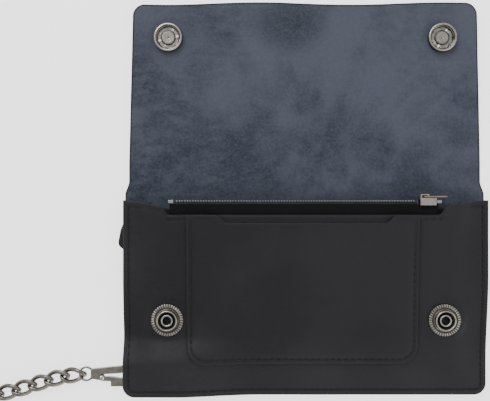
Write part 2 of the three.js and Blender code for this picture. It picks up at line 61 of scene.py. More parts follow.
body = {
    "height": 82.0, "corner": 5.0, "backLeather": 1.5, "frontLeather": 1.5, "dividerLeather": 0.7,
    "gap": 0.3, "opening": 4.0, "lift": 5.4, "foldMargin": 3.0, "spine": 12.7, "studDown": 49.8,
    "studSpacing": 115.2,
}
creaseOne = body["height"] + body["foldMargin"]
creaseTwo = creaseOne + body["spine"]
studY = body["height"] - body["studDown"]
snapPlaces = [-body["studSpacing"] / 2, body["studSpacing"] / 2]


def place(x, y, z):  # wallet coordinates to metres in the frame
    return ((np.array([x, y, z], float) + origin) * mm).tolist()


# Camera: straight above the open flap's root, as high as a hand-held camera.
camera = {"x": -25.3, "y": 81.9, "height": 360.0, "lens": 62.08}
cameraData = bpy.data.cameras.new("camera")
cameraData.lens = camera["lens"]
cameraData.sensor_width = 36.0
cameraObject = bpy.data.objects.new("camera", cameraData)
bpy.context.scene.collection.objects.link(cameraObject)
cameraObject.location = place(camera["x"], camera["y"], camera["height"])
cameraData.clip_start = 0.01
bpy.context.scene.camera = cameraObject


# Shader maths: a Value is an output socket, and an expression on Values adds Math nodes.
class Value:
    def __init__(self, paint, socket):
        self.paint, self.socket = paint, socket

    def maths(self, operation, *values):
        return self.paint.node("Math", {"operation": operation}, dict(enumerate(values)))

    def __add__(self, other):
        return self.maths("ADD", self, other)

    def __mul__(self, other):
        return self.maths("MULTIPLY", self, other)

    def __sub__(self, other):
        return self.maths("SUBTRACT", self, other)

    def __rsub__(self, other):
        return self.maths("SUBTRACT", other, self)

    def __pow__(self, other):
        return self.maths("POWER", self, other)

    def __truediv__(self, other):
        return self.maths("DIVIDE", self, other)

    def between(self, low, high):  # 0 at low, 1 at high, and no further
        ends = {"Value": self, "From Min": low, "From Max": high}
        return self.paint.node("MapRange", {"clamp": True, "interpolation_type": "SMOOTHSTEP"}, ends)

    def sine(self):
        return self.maths("SINE", self)

    __radd__ = __add__
    __rmul__ = __mul__


# A material with one Principled shader, whose sockets are set from words or Values.
class Paint:
    def __init__(self, name):
        self.material = bpy.data.materials.new(name)
        self.material.use_nodes = True
        self.tree = self.material.node_tree
        self.shader = self.tree.nodes["Principled BSDF"]
        self.coordinates = self.node("TexCoord", output="Object")

    def node(self, kind, settings=None, inputs=None, output=0):
        made = self.tree.nodes.new("ShaderNode" + kind)
        for name, value in (settings or {}).items():
            setattr(made, name, value)
        for name, value in (inputs or {}).items():
            self.join(made.inputs[name], value)
        return Value(self, made.outputs[output])

    def join(self, socket, value):
        if isinstance(value, Value):
            self.tree.links.new(value.socket, socket)
        else:
            socket.default_value = value

    def noise(self, size, detail=3.0, roughness=0.5, where=None):  # size of a blotch in millimetres
        inputs = {"Vector": where or self.coordinates, "Scale": 1 / (size * mm), "Detail": detail,
                  "Roughness": roughness}
        return self.node("TexNoise", inputs=inputs)

    def cells(self, size, feature="F1", output="Distance"):
        inputs = {"Vector": self.coordinates, "Scale": 1 / (size * mm)}
        return self.node("TexVoronoi", {"feature": feature}, inputs, output)

    def blend(self, share, first, second):  # colours
        inputs = {0: share, 6: first, 7: second}
        return self.node("Mix", {"data_type": "RGBA"}, inputs, 2)

    def axes(self):
        split = self.node("SeparateXYZ", inputs={0: self.coordinates})
        outputs = split.socket.node.outputs
        return [Value(self, outputs[i]) for i in range(3)]

    def attribute(self, name):
        return self.node("Attribute", {"attribute_name": name}, output="Fac")

    def bump(self, height, depth, strength=1.0, under=None):  # depth in millimetres for a height of 1
        inputs = {"Height": height, "Distance": depth * mm, "Strength": strength}
        if under:
            inputs["Normal"] = under
        return self.node("Bump", inputs=inputs)

    def finish(self, **sockets):
        for name, value in sockets.items():
            self.join(self.shader.inputs[name.replace("_", " ")], value)
        return self.material


# Blotches and grain in millimetres; places on the wallet in metres of the frame.
leatherLook = {"cloud": 38, "scuff": 7, "crease": 5, "grain": 1.3, "pore": 0.62, "relief": 0.085,
               "paleFrom": -0.078, "paleTo": -0.052,
               "dark": (0.0112, 0.0106, 0.0135, 1), "rubbed": (0.0370, 0.0365, 0.0425, 1)}


def smoothLeather():
    paint, look = Paint("smoothLeather"), leatherLook
    cloud, fine = paint.noise(look["cloud"], 3, 0.5), paint.noise(2.6, 3, 0.6)
    pores, grain = paint.cells(look["pore"], "SMOOTH_F1"), paint.noise(look["grain"], 4, 0.7)
    creases = paint.noise(look["crease"], 5, 0.65)
    x, y, z = paint.axes()
    low = 1 - y.between(look["paleFrom"], look["paleTo"])  # rubbed paler towards the bottom
    scuffs = paint.noise(look["scuff"], 5, 0.75).between(0.56, 0.74) * (0.25 + low * 0.75)
    worn = cloud.between(0.3, 0.7) * 0.30 + fine * 0.14 + low * 0.34 + scuffs * 0.30
    colour = paint.blend(worn, look["dark"], look["rubbed"])
    colour = paint.blend((1 - pores.between(0.0, 0.35)) * 0.3, colour, (0.006, 0.006, 0.007, 1))
    rim = (1 - paint.attribute("edge").between(0.0, 0.7)) * 0.75
    colour = paint.blend(rim, colour, (0.009, 0.008, 0.008, 1))
    # Painted shade along the sunk seam lines.
    colour = paint.blend(paint.attribute("grooveShade") * 0.7, colour, (0.0045, 0.004, 0.004, 1))
    rough = 0.44 + fine * 0.14 + worn * 0.12
    bump = paint.bump(pores * 0.4 + grain * 0.4 + creases.between(0.3, 0.75), look["relief"])
    bump = paint.bump(paint.noise(0.3, 2), 0.018, under=bump)
    return paint.finish(Base_Color=colour, Roughness=rough, Normal=bump, Specular_IOR_Level=0.32)


suedeLook = {"cloud": 30, "patch": 8, "nap": 1.1, "fibre": 0.26, "smearX": -0.005, "smearY": 0.074,
             "smearWide": 0.017, "smearTall": 0.014,
             "pale": (0.098, 0.110, 0.145, 1), "dark": (0.034, 0.043, 0.064, 1),
             "swirl": (0.112, 0.126, 0.160, 1), "smear": (0.030, 0.038, 0.054, 1),
             "raised": (0.128, 0.142, 0.176, 1)}


def suede():
    paint, look = Paint("suede"), suedeLook
    cloud, patch = paint.noise(look["cloud"], 4, 0.6), paint.noise(look["patch"], 5, 0.72)
    nap, fibre = paint.noise(look["nap"], 5, 0.75), paint.noise(look["fibre"], 3, 0.75)
    x, y, z = paint.axes()
    # root paints the shadow of the body onto the suede, darkest at the flap's root.
    left, root = 1 - x.between(-0.055, 0.02), 1 - y.between(0.012, 0.060)
    across, up = (x - look["smearX"]) / look["smearWide"], (y - look["smearY"]) / look["smearTall"]
    smear = across ** 2 + up ** 2  # a dark smear near the free edge
    smear = (1 - (smear + patch * 0.8).between(0.2, 1.7)) * 0.8
    streaks = paint.noise(9, 4, 0.6, paint.node("Mapping", inputs={
        0: paint.coordinates, "Scale": (1.0, 2.6, 1.0), "Rotation": (0.0, 0.0, 0.7)}))
    swirl = (streaks * 0.6 + patch * 0.5).between(0.46, 0.72) * left
    dark = (cloud * 0.75 + patch * 0.35 + left * 0.08 + root * 0.14).between(0.48, 0.84)
    colour = paint.blend(dark, look["pale"], look["dark"])
    colour = paint.blend(swirl * 0.5, colour, look["swirl"])
    colour = paint.blend(smear, colour, look["smear"])
    colour = paint.blend(nap.between(0.38, 0.70) * 0.42, colour, look["raised"])
    colour = paint.blend(fibre.between(0.60, 0.78) * 0.30, colour, (0.030, 0.036, 0.050, 1))
    colour = paint.blend((1 - paint.attribute("edge").between(0.25, 1.1)), colour, (0.012, 0.012, 0.014, 1))
    bump = paint.bump(nap * 0.6 + patch * 0.4, 0.10)
    bump = paint.bump(fibre, 0.05, under=bump)
    return paint.finish(Base_Color=colour, Roughness=0.92 + fibre * 0.06, Normal=bump, Sheen_Weight=0.2,
                        Sheen_Roughness=0.5, Specular_IOR_Level=0.12)


def rawEdge():
    paint = Paint("dyedEdge")
    fibre = paint.noise(0.35, 4, 0.8)
    colour = paint.blend(fibre, (0.008, 0.007, 0.007, 1), (0.035, 0.030, 0.027, 1))
    return paint.finish(Base_Color=colour, Roughness=0.75 + fibre * 0.2, Normal=paint.bump(fibre, 0.12))


def waxedThread():
    paint = Paint("waxedThread")
    twist = (paint.attribute("along") * 40 + paint.attribute("round") * 6.283).sine()
    fuzz = paint.noise(0.12, 2)
    colour = paint.blend(fuzz, (0.0035, 0.0035, 0.004, 1), (0.016, 0.016, 0.018, 1))
    bump = paint.bump(twist * 0.5 + fuzz, 0.06)
    return paint.finish(Base_Color=colour, Roughness=0.5 + fuzz * 0.25, Normal=bump)


def wovenTape():
    paint = Paint("wovenTape")
    x, y, z = paint.axes()
    warp, weft = (x * (6283 / 0.55)).sine(), (y * (6283 / 0.42)).sine()
    weave = warp * weft * 0.5 + 0.5
    colour = paint.blend(weave, (0.003, 0.003, 0.0035, 1), (0.013, 0.013, 0.0145, 1))
    rough = 0.8 + paint.noise(0.3) * 0.15
    return paint.finish(Base_Color=colour, Roughness=rough, Specular_IOR_Level=0.2,
                        Normal=paint.bump(weave + paint.noise(0.15) * 0.4, 0.09))


def zipNylon():
    paint = Paint("zipNylon")
    scuff = paint.noise(0.8, 4, 0.7)
    paintedHighlight = paint.attribute("paintedHighlight")  # painted highlight: 1 on the side of each loop that faces out
    share = paintedHighlight * 0.8 + scuff.between(0.4, 0.75) * 0.2
    # Painted highlight: the lit side of each black nylon loop turns pale grey.
    colour = paint.blend(share, (0.003, 0.003, 0.004, 1), (0.36, 0.36, 0.37, 1))
    return paint.finish(Base_Color=colour, Roughness=0.22 + scuff * 0.2, Normal=paint.bump(scuff, 0.02))


# Plated metal with tarnish and scratches; paintedShade paints shade into hollows and onto sides turned from
# the light, so the tops stay bright.
def platedMetal(name, bright, dark, tone, rough):
    paint = Paint(name)
    tarnish, specks = paint.noise(tone, 5, 0.7), paint.noise(0.25, 3, 0.7)
    drawn = paint.node("Mapping", inputs={0: paint.coordinates, "Scale": (1, 7, 2)})
    scratches = paint.noise(0.5, 4, 0.6, drawn)
    paintedShade = paint.attribute("paintedShade")  # 1 where shade is painted: in a hollow or on a side turned from the light
    share = (tarnish * 0.7 + specks * 0.25 + paintedShade * 0.5).between(0.42, 0.80)
    colour = paint.blend(share, bright, dark)
    # Painted shade: near-black in the hollows and on the sides turned from the light.
    colour = paint.blend(paintedShade * 0.85, colour, tuple(0.22 * part for part in dark[:3]) + (1,))
    gloss = rough + share * 0.15 + scratches.between(0.5, 0.8) * 0.10
    bump = paint.bump(scratches * 0.4 + specks * 0.5, 0.02)
    return paint.finish(Base_Color=colour, Roughness=gloss, Metallic=1.0 - share * 0.12, Normal=bump)


leatherPaint, suedePaint, edgePaint = smoothLeather(), suede(), rawEdge()
threadPaint, tapePaint, nylonPaint = waxedThread(), wovenTape(), zipNylon()
nickelPaint = platedMetal("antiqueNickel", (0.56, 0.525, 0.475, 1), (0.17, 0.152, 0.128, 1), 2.4, 0.20)
chainPaint = platedMetal("gunmetalPlate", (0.31, 0.288, 0.255, 1), (0.075, 0.068, 0.058, 1), 2.6, 0.24)
brassPaint = platedMetal("wornBrass", (0.45, 0.37, 0.26, 1), (0.10, 0.075, 0.05, 1), 1.2, 0.3)
print("materials made")


# Surfaces. Every mesh is a grid of points worked out as whole arrays.
def step(value, low, high):  # 3 t^2 - 2 t^3, from 0 at low to 1 at high
    t = np.clip((value - low) / (high - low), 0, 1)
    return t * t * (3 - 2 * t)


# A mesh from points in the wallet's coordinates; it rides on the body named rider.
def makeMesh(name, points, faces, materials, faceMaterial=None, rider=None, attributes=None):
    mesh = bpy.data.meshes.new(name)
    mesh.from_pydata(((points + origin) * mm).tolist(), [], faces.tolist())
    for material in materials:
        mesh.materials.append(material)
    if faceMaterial is not None:
        mesh.polygons.foreach_set("material_index", np.asarray(faceMaterial, np.int32))
    for key, values in (attributes or {}).items():
        mesh.attributes.new(key, "FLOAT", "POINT").data.foreach_set("value", np.asarray(values, np.float32))
    mesh.polygons.foreach_set("use_smooth", np.ones(len(faces), bool))
    mesh.update()
    made = bpy.data.objects.new(name, mesh)
    bpy.context.scene.collection.objects.link(made)
    if rider:
        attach(made, rider)
    return made


# Distances along a length: close together near both ends, where an edge is rounded, and even between.
def stations(length, cell, firstFine=True, lastFine=True):
    fine = np.array([0, 0.03, 0.1, 0.22, 0.38, 0.58, 0.85])
    start = fine if firstFine else np.array([0.0])
    end = length - fine[::-1] if lastFine else np.array([length])
    count = max(2, int((end[0] - start[-1]) / cell))
    return np.concatenate([start, np.linspace(start[-1], end[0], count + 1)[1:-1], end]) / length


# A sheet of leather over a grid: low and high are the heights of its two faces, and edge the distance to a
# cut edge. Near it each face falls to the middle of the thickness over a quarter circle of radius r, half the
# thickness: z = high - r + sqrt(r^2 - (r - edge)^2).
# cutAt is a line where it was cut from the next piece, and grooveShade how deep a seam has sunk, from 0 to 1;
# it sets the painted shade along the seam.
def leatherSheet(name, x, y, low, high, edge, rider, materials=None, over=0, cutAt=None, grooveShade=0.0):
    radius = (high - low) / 2
    inside = np.clip(1 - edge / radius, 0, 1)
    fall = radius * (1 - np.sqrt(1 - inside ** 2))
    rows, columns = x.shape
    top = np.stack([x, y, high - fall], -1).reshape(-1, 3)
    bottom = np.stack([x, y, low + fall], -1).reshape(-1, 3)
    points = np.concatenate([bottom, top])
    at = np.arange(rows * columns).reshape(rows, columns)
    a, b, c, d = at[:-1, :-1].ravel(), at[:-1, 1:].ravel(), at[1:, 1:].ravel(), at[1:, :-1].ravel()
    upper = np.stack([a, b, c, d], 1) + rows * columns
    lower = np.stack([a, d, c, b], 1)
    loop = np.concatenate([at[0, :-1], at[:-1, -1], at[-1, :0:-1], at[:0:-1, 0]])
    after = np.roll(loop, -1)
    side = np.stack([loop, after, after + rows * columns, loop + rows * columns], 1)
    faces = np.concatenate([upper, lower, side])
    share = np.concatenate([np.full(len(upper), over), np.zeros(len(lower)), np.ones(len(side))])
    nearRim = edge[:-1, :-1].ravel() < radius[:-1, :-1].ravel() * 0.75
    share[: len(upper)][nearRim] = 1
    share[len(upper): len(upper) + len(lower)][nearRim] = 1
    made = makeMesh(name, points, faces, materials or [leatherPaint, edgePaint], share, rider,
                    {"edge": np.tile(edge.ravel(), 2), "grooveShade": np.tile((grooveShade + 0 * edge).ravel(), 2)})
    weld(made)
    if cutAt is not None:
        sharpen(made, cutAt)
    return made


# The cut between two pieces of one leather stays crisp: edges that lie on the line y = level are sharp.
def sharpen(piece, level):
    mesh = piece.data
    at, ends = np.empty(len(mesh.vertices) * 3), np.empty(len(mesh.edges) * 2, np.int32)
    mesh.vertices.foreach_get("co", at)
    mesh.edges.foreach_get("vertices", ends)
    on = np.abs(at.reshape(-1, 3)[:, 1] / mm - origin[1] - level) < 1e-3
    mesh.edges.foreach_set("use_edge_sharp", on[ends.reshape(-1, 2)].all(1))
    mesh.update()


def weld(piece, distance=2e-7):
    held = bmesh.new()
    held.from_mesh(piece.data)
    bmesh.ops.remove_doubles(held, verts=held.verts, dist=distance)
    held.to_mesh(piece.data)
    held.free()


# Heights of the layers of the body: each is the one below, plus the gap of the pocket, plus its leather.
def lift(x, y):  # the lower left corner lies on the clasp
    return body["lift"] * (1 - step(x, 20 - halfWidth, 58 - halfWidth)) * (1 - step(y, 13, 26))


def fromSide(x):  # 0 at the side seams, 1 where the pockets are open
    return step(halfWidth - np.abs(x), 2, 16)


def rise(y):  # how open the pockets are: 0 at the bottom seam, 1 at the mouth
    return 0.3 * step(y, 3, 22) + 0.7 * np.minimum(1, y / (body["height"] - 2))


def backTop(x, y):
    return lift(x, y) + body["backLeather"]


def billGap(x, y):
    side = fromSide(x)
    return body["gap"] + body["opening"] * (step(y, 14, 50) * (1 - side) + rise(y) * side)


def dividerTop(x, y):
    return backTop(x, y) + billGap(x, y) + body["dividerLeather"]


def zipGap(x, y):
    return body["gap"] + body["opening"] * rise(y) * fromSide(x)


def frontTop(x, y):
    return dividerTop(x, y) + zipGap(x, y) + body["frontLeather"]


# Slow waves of worn leather, a sum of a few sines.
def wave(x, y, height):
    return height * (np.sin(x / 9.1 + 1.3) * np.sin(y / 7.3 + 0.6) + 0.6 * np.sin(x / 4.7 - y / 6.1)
                     + 0.4 * np.sin(x / 13.0 + y / 3.9))


def dropAt(distance, radius):  # how far a rounded corner has pulled the outline in
    inside = np.clip(radius - distance, 0, radius)
    return radius - np.sqrt(radius ** 2 - inside ** 2)


# Distance to the outline of a panel with straight sides, a straight bottom and rounded bottom corners.
def outlineDistance(x, y, half, bottom, top, radius):
    across, up = half - np.abs(x), y - bottom
    corner = (across < radius) & (up < radius)
    arc = radius - np.hypot(radius - across, radius - up)
    return np.maximum(np.minimum(np.where(corner, arc, np.minimum(across, up)), top - y), 0)


def grid(half, bottom, top, cell, topFine=True):
    u = stations(2 * half, cell)
    x = np.broadcast_to(-half + 2 * half * u, (1, len(u)))
    span = float(np.max(top(x) - bottom(x)))
    v = stations(span, cell, True, topFine)[:, None]
    y = bottom(x) + (top(x) - bottom(x)) * v
    return np.broadcast_to(x, y.shape).copy(), y


# A line of stitches: threads of a round section that dip into the leather at both ends.
# At t from 0 to 1 along a stitch, height = rise * sin(pi t)^0.6 and radius = r * sin(pi t)^0.35.
def stitches(name, path, height, rider, look, facing=1):  # facing is -1 on the underside
    distance = np.concatenate([[0], np.cumsum(np.hypot(*np.diff(path, axis=0).T))])
    count = int(distance[-1] / look["pitch"])
    starts = (np.arange(count) + 0.14) * distance[-1] / count
    t = np.linspace(0.0, 1.0, 9)
    along = starts[:, None] + t * look["length"]
    x, y = np.interp(along, distance, path[:, 0]), np.interp(along, distance, path[:, 1])
    swell = np.sin(np.pi * np.clip(t, 0.001, 0.999))
    middle = height(x, y) + facing * (look["proud"] * swell ** 0.6 - look["sunk"])
    direction = np.stack([x[:, -1] - x[:, 0], y[:, -1] - y[:, 0]], 1)
    direction /= np.linalg.norm(direction, axis=1)[:, None]
    slant = look["slant"] * (t - 0.5)
    angle = np.linspace(0, 2 * np.pi, 7)[:-1]
    radius = look["radius"] * (0.25 + 0.75 * swell ** 0.35)
    sideways = np.cos(angle)[None, None, :] * radius[None, :, None] + slant[None, :, None]
    upward = np.sin(angle)[None, None, :] * radius[None, :, None]
    px = x[..., None] - direction[:, 1, None, None] * sideways
    py = y[..., None] + direction[:, 0, None, None] * sideways
    pz = middle[..., None] + upward
    points = np.stack([px, py, np.broadcast_to(pz, px.shape)], -1).reshape(-1, 3)
    rings, sides = len(t), len(angle)
    i, j = np.meshgrid(np.arange(rings - 1), np.arange(sides), indexing="ij")
    one = np.stack([i * sides + j, i * sides + (j + 1) % sides, (i + 1) * sides + (j + 1) % sides,
                    (i + 1) * sides + j], -1).reshape(-1, 4)
    offset = (np.arange(count) * rings * sides)[:, None, None]
    faces = (one[None] + offset).reshape(-1, 4)
    caps = np.concatenate([np.arange(sides)[::-1][None], (np.arange(sides) + (rings - 1) * sides)[None]])
    caps = (caps[None] + offset).reshape(-1, sides)
    along01 = np.broadcast_to(t[None, :, None], px.shape).ravel()
    round01 = np.broadcast_to((angle / (2 * np.pi))[None, None, :], px.shape).ravel()
    mesh = bpy.data.meshes.new(name)
    mesh.from_pydata(((points + origin) * mm).tolist(), [], faces[:, ::-1].tolist() + caps[:, ::-1].tolist())
    mesh.materials.append(threadPaint)
    for key, values in {"along": along01, "round": round01}.items():
        mesh.attributes.new(key, "FLOAT", "POINT").data.foreach_set("value", values.astype(np.float32))
    mesh.polygons.foreach_set("use_smooth", np.ones(len(mesh.polygons), bool))
    made = bpy.data.objects.new(name, mesh)
    bpy.context.scene.collection.objects.link(made)
    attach(made, rider)
    return made


# Down the left side, round the bottom and up the right side, at an even distance inside the outline.
def seamPath(half, bottom, topLeft, topRight, radius, inset, centre=0.0):
    r = radius - inset
    turn = np.linspace(0, np.pi / 2, 14)
    left, right, low = -half + inset, half - inset, bottom + inset
    corner = [left + r - r * np.cos(turn), low + r - r * np.sin(turn)]
    otherCorner = [right - r + r * np.sin(turn), low + r - r * np.cos(turn)]
    x = np.concatenate([[left], corner[0], otherCorner[0], [right]]) + centre
    y = np.concatenate([[topLeft], corner[1], otherCorner[1], [topRight]])
    return np.stack([x, y], 1)


thread = {"pitch": 2.75, "length": 2.25, "radius": 0.27, "proud": 0.22, "sunk": 0.12, "slant": 0.18}

# Body: the front panel, its seam line sunk a little, and pressed flat under each stud.
front = {"zipMiddle": -1.0, "zipHalf": 57.0, "patchTop": 76.0, "seam": 2.3, "cell": 0.8}


def frontEdge(x):
    beyond = np.abs(x - front["zipMiddle"]) - front["zipHalf"] - 0.6
    raised = front["patchTop"] + 3 + (body["height"] - front["patchTop"] - 3) * step(beyond, -6, 17)
    return front["patchTop"] + (raised - front["patchTop"]) * step(beyond, -1.8, 1.6)


def cornerBottom(x):
    return dropAt(halfWidth - np.abs(x), body["corner"])


def seamDip(edge, inset, depth=0.16):
    return depth * np.exp(-((edge - inset) / 0.42) ** 2)


def frontSurface(x, y):
    height = frontTop(x, y) + wave(x, y, 0.07)
    for seat in snapPlaces:
        away = np.hypot(x - seat, y - studY)
        level = frontTop(np.array(seat), studY)
        height = level + (height - level) * step(away, 6.6, 10.5)
    return height


x, y = grid(halfWidth, cornerBottom, frontEdge, front["cell"])
edge = outlineDistance(x, y, halfWidth, 0, frontEdge(x), body["corner"])
high = frontSurface(x, y) - seamDip(edge, front["seam"])
low = frontSurface(x, y) - body["frontLeather"]
# The seam's depth, from 0 to 1, also sets the painted shade along the seam line.
sunk = seamDip(edge, front["seam"], 1.0) * (np.minimum(halfWidth - np.abs(x), y) < 8)  # not along the mouth
frontPanel = leatherSheet("frontLeather", x, y, low, high, edge, "wallet_body", grooveShade=sunk)
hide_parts("front_panel")

seam = seamPath(halfWidth, 0, body["height"] - 1.2, body["height"] - 1.2, body["corner"], front["seam"])
stitches("frontSeam", seam, lambda x, y: frontSurface(x, y) - 0.1, "wallet_body", thread)
for side in (-1, 1):  # the seam that holds the tape shows a little beyond the patch
    x0, x1 = (-58.5, -50.5) if side < 0 else (48.0, 57.0)
    path = np.stack([np.linspace(x0, x1, 8), np.full(8, front["patchTop"] - 1.6)], 1)
    stitches("tapeSeam" + ("Left" if side < 0 else "Right"), path, frontSurface, "wallet_body", thread)
print("front made")

# The card pocket lies over the front, with a scooped notch in its top edge.
patch = {"width": 96.2, "middle": -1.4, "bottom": 13.7, "corner": 8.0, "leather": 1.2, "slack": 0.6,
         "notchHalf": 37.5, "shoulder": 5.0, "notchDepth": 3.3, "seam": 1.9}


def patchTopEdge(x):
    away = np.abs(x + patch["middle"])
    notch = 1 - step(away, patch["notchHalf"] - patch["shoulder"], patch["notchHalf"])
    return front["patchTop"] - patch["notchDepth"] * notch


def patchUnder(x, y):
    return frontTop(x + patch["middle"], y) + wave(x + patch["middle"], y, 0.07) + patch["slack"]


half = patch["width"] / 2
x, y = grid(half, lambda x: patch["bottom"] + dropAt(half - np.abs(x), patch["corner"]), patchTopEdge, 0.75)
edge = outlineDistance(x, y, half, patch["bottom"], patchTopEdge(x), patch["corner"])
settle = 0.42 * (1 - step(edge, 1.0, 4.5)) * step(patchTopEdge(x) - y, 6, 16)  # sewn down along its seam
low = patchUnder(x, y) - settle
# The seam's depth, from 0 to 1, also sets the painted shade along the pocket's seam line.
sunk = seamDip(edge, patch["seam"], 1.0) * step(patchTopEdge(x) - y, 0.5, 2.5) * (edge < half - np.abs(x) + 8)
sunk = sunk * ((half - np.abs(x) < 10) | (y < patch["bottom"] + 10))
high = low + patch["leather"] - 0.16 * sunk
x = x + patch["middle"]
pocket = leatherSheet("cardPocketLeather", x, y, low, high, edge, "wallet_body", grooveShade=sunk)
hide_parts("card_pocket")
seam = seamPath(half, patch["bottom"], front["patchTop"] - 0.9, front["patchTop"] - 0.9, patch["corner"],
                patch["seam"], patch["middle"])
stitches("pocketSeam", seam, lambda x, y: patchUnder(x - patch["middle"], y) + patch["leather"] - 0.45,
         "wallet_body", thread)

# The divider between the bill compartment and the zip pocket.
divide = {"drop": 3.4, "cell": 1.3}


def dividerTopEdge(x):  # lower along the zip than at the sides
    beside = step(np.abs(x - front["zipMiddle"]), front["zipHalf"], halfWidth)
    return body["height"] - divide["drop"] * (1 - beside)


x, y = grid(halfWidth, cornerBottom, dividerTopEdge, divide["cell"])
edge = outlineDistance(x, y, halfWidth, 0, dividerTopEdge(x), body["corner"])
top = dividerTop(x, y)
divider = leatherSheet("dividerLeather", x, y, top - body["dividerLeather"], top, edge, "wallet_body")
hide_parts("pocket_divider")
print("pockets made")


# A thin wall with square edges: point(u, v, w) at w = 0 and w = 1 are its two faces.
def wall(name, point, columns, rows, material, rider, nodes=()):
    u, v = np.meshgrid(np.linspace(0, 1, columns + 1), np.linspace(0, 1, rows + 1))
    faces0 = np.stack(point(u, v, 0.0), -1).reshape(-1, 3)
    faces1 = np.stack(point(u, v, 1.0), -1).reshape(-1, 3)
    count = (columns + 1) * (rows + 1)
    at = np.arange(count).reshape(rows + 1, columns + 1)
    a, b, c, d = at[:-1, :-1].ravel(), at[:-1, 1:].ravel(), at[1:, 1:].ravel(), at[1:, :-1].ravel()
    loop = np.concatenate([at[0, :-1], at[:-1, -1], at[-1, :0:-1], at[:0:-1, 0]])
    after = np.roll(loop, -1)
    faces = np.concatenate([np.stack([a, b, c, d], 1) + count, np.stack([a, d, c, b], 1),
                            np.stack([loop, after, after + count, loop + count], 1)])
    edges = np.minimum(np.minimum(u, 1 - u) * columns, np.minimum(v, 1 - v) * rows).ravel() * 0.4
    made = makeMesh(name, np.concatenate([faces0, faces1]), faces, [material], None, rider,
                    {"edge": np.tile(edges, 2)})
    outward(made)
    if nodes:
        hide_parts(*nodes)
    return made


def outward(piece):  # turns every face outwards
    held = bmesh.new()
    held.from_mesh(piece.data)
    bmesh.ops.recalc_face_normals(held, faces=held.faces)
    held.to_mesh(piece.data)
    held.free()


# Gussets: leather folded in half, a half circle of the opening's height with two wings.
gusset = {"wing": 9.0, "leather": 0.6, "length": 48.0, "bulge": {-1: 2.3, 1: -1.2}}
for side, name in ((-1, "left"), (1, "right")):
    def fold(u, v, w, side=side):
        y = body["height"] - 49 + gusset["length"] * v
        full = step(y, body["height"] - 23, body["height"] - 18.5) * (1 - step(y, body["height"] - 17,
                                                                               body["height"] - 2))
        crease = halfWidth - 2.2 + (gusset["bulge"][side] + 1.6) * full
        inset = w * gusset["leather"]
        turn = np.clip((u - 0.5) / 0.2, -1, 1) * (np.pi / 2)
        back = np.maximum(0, np.abs(u - 0.5) - 0.2) / 0.3
        x = side * (crease + np.cos(turn) * (0.6 - inset * 0.5) - back * gusset["wing"])
        x = x + side * 0.12 * np.sin(y * 1.1) * full
        space = billGap(x, y)
        reach = space / 2 - body["gap"] - 0.1 - inset
        return x, y, backTop(x, y) + space / 2 - np.sin(turn) * reach * side
    wall("gussetLeather" + name.capitalize(), fold, 44, 90, leatherPaint, "wallet_body",
         ["gusset_" + name])

# Zip tapes, woven, and the two coils of teeth.
# A coil is a helix about X: y = ry cos(2 pi t), z = rz sin(2 pi t), x = pitch t.
zipper = {"hidden": 6.0, "tape": 0.6, "coilHeight": 1.3, "coilDepth": 1.4, "proud": 0.1, "pitch": 1.12,
          "wire": 0.27, "sides": 6, "stop": 2.0, "slider": 6.6}
zipLeft, zipRight = (front["zipMiddle"] + s * front["zipHalf"] for s in (-1, 1))
zipTop = body["height"] + zipper["proud"]
coilBottom = zipTop - zipper["coilHeight"]


def frontTape(x, y):  # its outer face
    return dividerTop(x, y) + zipGap(x, y) - body["gap"]


def rearTape(x, y):  # its inner face
    return dividerTop(x, y) + body["gap"]


for name, face in (("Front", lambda x, y: frontTape(x, y) - zipper["tape"]), ("Rear", rearTape)):
    def ribbon(u, v, w, face=face):
        x = zipLeft + 1.5 + (zipRight - zipLeft - 3) * u
        lowest = front["patchTop"] - zipper["hidden"]
        y = lowest + (coilBottom - body["gap"] - lowest) * v
        return x, y, face(x, y) + zipper["tape"] * w
    nodes = ["zip_tape_" + name.lower()]
    wall("zipTape" + name, ribbon, 220, 26, tapePaint, "wallet_body", nodes)


# A round wire along a path: point + r cos(a) out + r sin(a) up, with out square to the path.
def wire(path, out, radius, sides, closed=False):
    tangent = np.roll(path, -1, 0) - np.roll(path, 1, 0)
    if not closed:
        tangent[0], tangent[-1] = path[1] - path[0], path[-1] - path[-2]
    tangent /= np.linalg.norm(tangent, axis=1)[:, None]
    out = out - tangent * np.sum(out * tangent, 1)[:, None]
    out /= np.linalg.norm(out, axis=1)[:, None]
    up = np.cross(out, tangent)
    angle = np.linspace(0, 2 * np.pi, sides + 1)[:-1]
    ring = np.cos(angle)[None, :, None] * out[:, None] + np.sin(angle)[None, :, None] * up[:, None]
    points = (path[:, None] + ring * np.broadcast_to(radius, len(path))[:, None, None]).reshape(-1, 3)
    count = len(path)
    i, j = np.meshgrid(np.arange(count if closed else count - 1), np.arange(sides), indexing="ij")
    n = (i + 1) % count
    faces = np.stack([i * sides + j, n * sides + j, n * sides + (j + 1) % sides, i * sides + (j + 1) % sides],
                     -1).reshape(-1, 4)
    return points, faces


def wirePiece(name, path, out, radius, sides, material, rider, attributes):
    points, faces = wire(path, out, radius, sides)
    mesh = bpy.data.meshes.new(name)
    caps = [list(range(sides))[::-1], list(range(len(points) - sides, len(points)))]
    mesh.from_pydata(((points + origin) * mm).tolist(), [], faces.tolist() + caps)
    mesh.materials.append(material)
    for key, values in attributes.items():
        mesh.attributes.new(key, "FLOAT", "POINT").data.foreach_set("value", values.astype(np.float32))
    mesh.polygons.foreach_set("use_smooth", np.ones(len(mesh.polygons), bool))
    made = bpy.data.objects.new(name, mesh)
    bpy.context.scene.collection.objects.link(made)
    outward(made)
    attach(made, rider)
    return made


